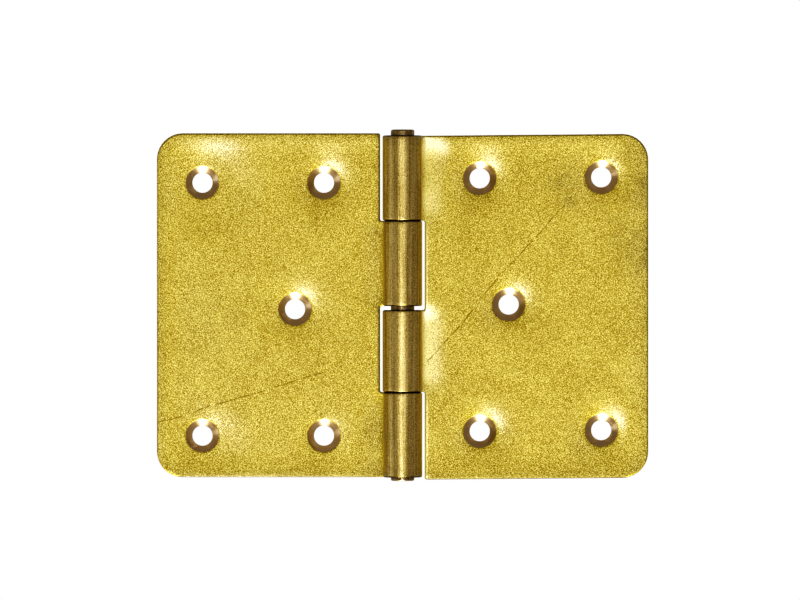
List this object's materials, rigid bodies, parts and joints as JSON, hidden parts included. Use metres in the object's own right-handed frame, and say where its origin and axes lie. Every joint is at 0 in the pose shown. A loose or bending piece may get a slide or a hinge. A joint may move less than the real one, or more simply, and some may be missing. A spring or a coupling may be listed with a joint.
{
  "type": "butt hinge",
  "caption": "Wide rolled-knuckle butt hinge in yellow plated sheet steel: two rounded leaves with countersunk screw holes, swinging on a plain wire pin.",
  "frame": {"origin": "straight below the middle of the pin, on the plane that the open hinge lies on", "axes": "+X across the leaves towards the right leaf, +Y along the pin, +Z out of the leaf fronts, where the countersinks and the rolled knuckles are"},
  "size_m": [0.1, 0.0714, 0.0082],
  "materials": {
    "leaf_plating": "satin",
    "pin_wire": "satin"
  },
  "bodies": {
    "left_side": {"left_leaf": "leaf_plating", "pin": "pin_wire"},
    "right_side": {"right_leaf": "leaf_plating"}
  },
  "joints": [
    {"name": "leaf_swing", "type": "hinge", "parent": "left_side", "child": "right_side", "pos_m": [0, 0, 0.00408], "axis": [0, -1, 0], "range_deg": [-95, 185]}
  ]
}
